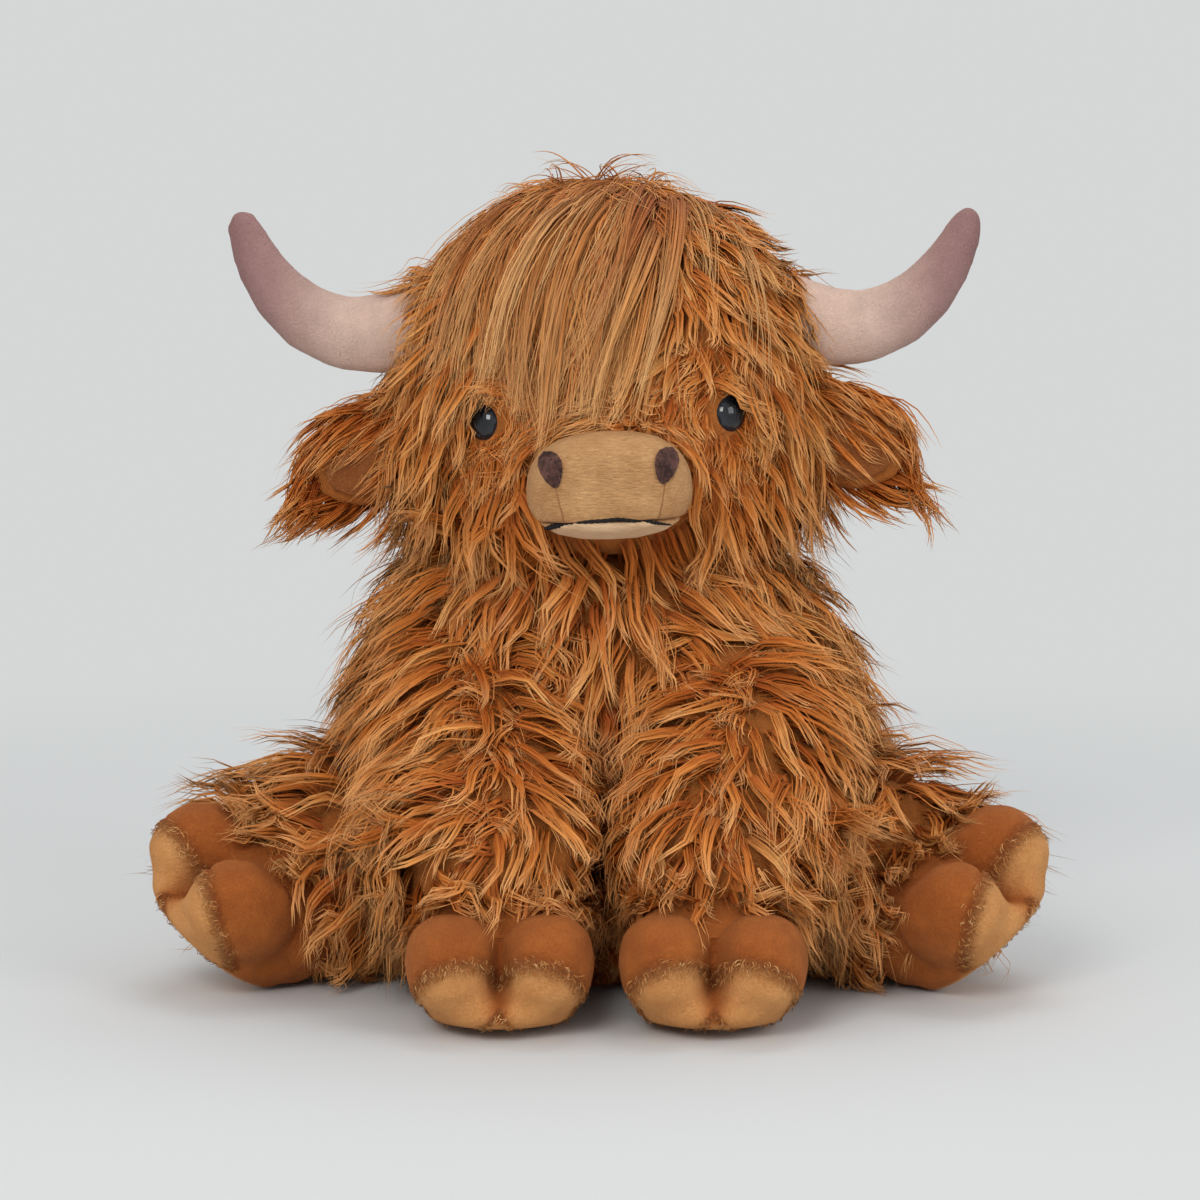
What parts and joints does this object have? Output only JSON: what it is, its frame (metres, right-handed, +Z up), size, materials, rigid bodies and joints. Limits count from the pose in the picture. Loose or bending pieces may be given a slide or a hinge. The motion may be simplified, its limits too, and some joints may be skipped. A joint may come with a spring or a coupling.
{
  "type": "plush cow",
  "caption": "Seated plush long-haired cow with a turning head, swinging front legs, splaying hind legs, cloven hooves, curved horns, soft ears and a tail.",
  "frame": {"origin": "centre of the flat seat under the body, on the ground", "axes": "+Z up, the cow faces -Y, +X towards its left side, which is a viewer's right"},
  "size_m": [0.3919, 0.3216, 0.3483],
  "materials": {
    "long_fur": "long curly pile, golden brown",
    "forelock_fur": "long straight pile, golden tan",
    "muzzle_velour": "short velour, tan",
    "lip_velour": "short velour, pale tan",
    "horn_plush": "short pile plush, beige pink that fades to mauve brown at the tip",
    "hoof_plush": "short pile plush, golden brown",
    "toe_plush": "short pile plush, tan",
    "ear_plush": "short pile plush, dark orange brown",
    "nostril_thread": "satin stitch, brown",
    "mouth_thread": "black stitching",
    "fibre_filling": "polyester fibre",
    "pouch_cloth": "woven cotton bag",
    "eye_plastic": "polished black",
    "washer_plastic": "moulded, white"
  },
  "bodies": {
    "torso": {"body_skin": "long_fur", "body_filling": "fibre_filling", "pellet_pouch": "pouch_cloth"},
    "head": {"head_skin": "long_fur", "head_filling": "fibre_filling", "forelock": "forelock_fur", "muzzle": "muzzle_velour", "lower_lip": "lip_velour", "mouth_stitch": "mouth_thread", "nostril_left": "nostril_thread", "eye_left": "eye_plastic", "eye_washer_left": "washer_plastic", "horn_left": "horn_plush", "horn_filling_left": "fibre_filling", "nostril_right": "nostril_thread", "eye_right": "eye_plastic", "eye_washer_right": "washer_plastic", "horn_right": "horn_plush", "horn_filling_right": "fibre_filling"},
    "tail": {"tail_cord": "hoof_plush", "tail_tuft": "long_fur"},
    "left_ear": {"ear_left": "long_fur", "ear_lining_left": "ear_plush"},
    "left_front_leg": {"front_leg_left_skin": "long_fur", "front_leg_left_filling": "fibre_filling", "front_hoof_left_upper": "hoof_plush", "front_hoof_left_sole": "toe_plush", "front_hoof_left_toe_left": "toe_plush", "front_hoof_left_toe_right": "toe_plush"},
    "left_hind_leg": {"hind_leg_left_skin": "long_fur", "hind_leg_left_filling": "fibre_filling", "hind_hoof_left_upper": "hoof_plush", "hind_hoof_left_sole": "toe_plush", "hind_hoof_left_toe_left": "toe_plush", "hind_hoof_left_toe_right": "toe_plush"},
    "right_ear": {"ear_right": "long_fur", "ear_lining_right": "ear_plush"},
    "right_front_leg": {"front_leg_right_skin": "long_fur", "front_leg_right_filling": "fibre_filling", "front_hoof_right_upper": "hoof_plush", "front_hoof_right_sole": "toe_plush", "front_hoof_right_toe_left": "toe_plush", "front_hoof_right_toe_right": "toe_plush"},
    "right_hind_leg": {"hind_leg_right_skin": "long_fur", "hind_leg_right_filling": "fibre_filling", "hind_hoof_right_upper": "hoof_plush", "hind_hoof_right_sole": "toe_plush", "hind_hoof_right_toe_left": "toe_plush", "hind_hoof_right_toe_right": "toe_plush"}
  },
  "joints": [
    {"name": "neck_turn", "type": "hinge", "parent": "torso", "child": "head", "pos_m": [0, -0.026, 0.19], "axis": [0, 0, 1], "range_deg": [-35, 35]},
    {"name": "tail_swing", "type": "hinge", "parent": "torso", "child": "tail", "pos_m": [0, 0.094, 0.092], "axis": [0, 1, 0], "range_deg": [-20, 20]},
    {"name": "front_leg_left_swing", "type": "hinge", "parent": "torso", "child": "left_front_leg", "pos_m": [-0.054, -0.06, 0.119], "axis": [-1, 0, 0], "range_deg": [0, 45]},
    {"name": "hind_leg_left_splay", "type": "hinge", "parent": "torso", "child": "left_hind_leg", "pos_m": [-0.095, -0.024, 0.049], "axis": [0, 0, -1], "range_deg": [-2, 20]},
    {"name": "ear_left_flop", "type": "hinge", "parent": "head", "child": "left_ear", "pos_m": [-0.0776, -0.026, 0.24728], "axis": [0, 1, 0], "range_deg": [-20, 14], "stiffness_Nm_per_rad": 0.02},
    {"name": "front_leg_right_swing", "type": "hinge", "parent": "torso", "child": "right_front_leg", "pos_m": [0.054, -0.06, 0.119], "axis": [-1, 0, 0], "range_deg": [0, 45]},
    {"name": "hind_leg_right_splay", "type": "hinge", "parent": "torso", "child": "right_hind_leg", "pos_m": [0.095, -0.024, 0.049], "axis": [0, 0, 1], "range_deg": [-2, 20]},
    {"name": "ear_right_flop", "type": "hinge", "parent": "head", "child": "right_ear", "pos_m": [0.0783, -0.026, 0.25273], "axis": [0, -1, 0], "range_deg": [-20, 14], "stiffness_Nm_per_rad": 0.02}
  ]
}
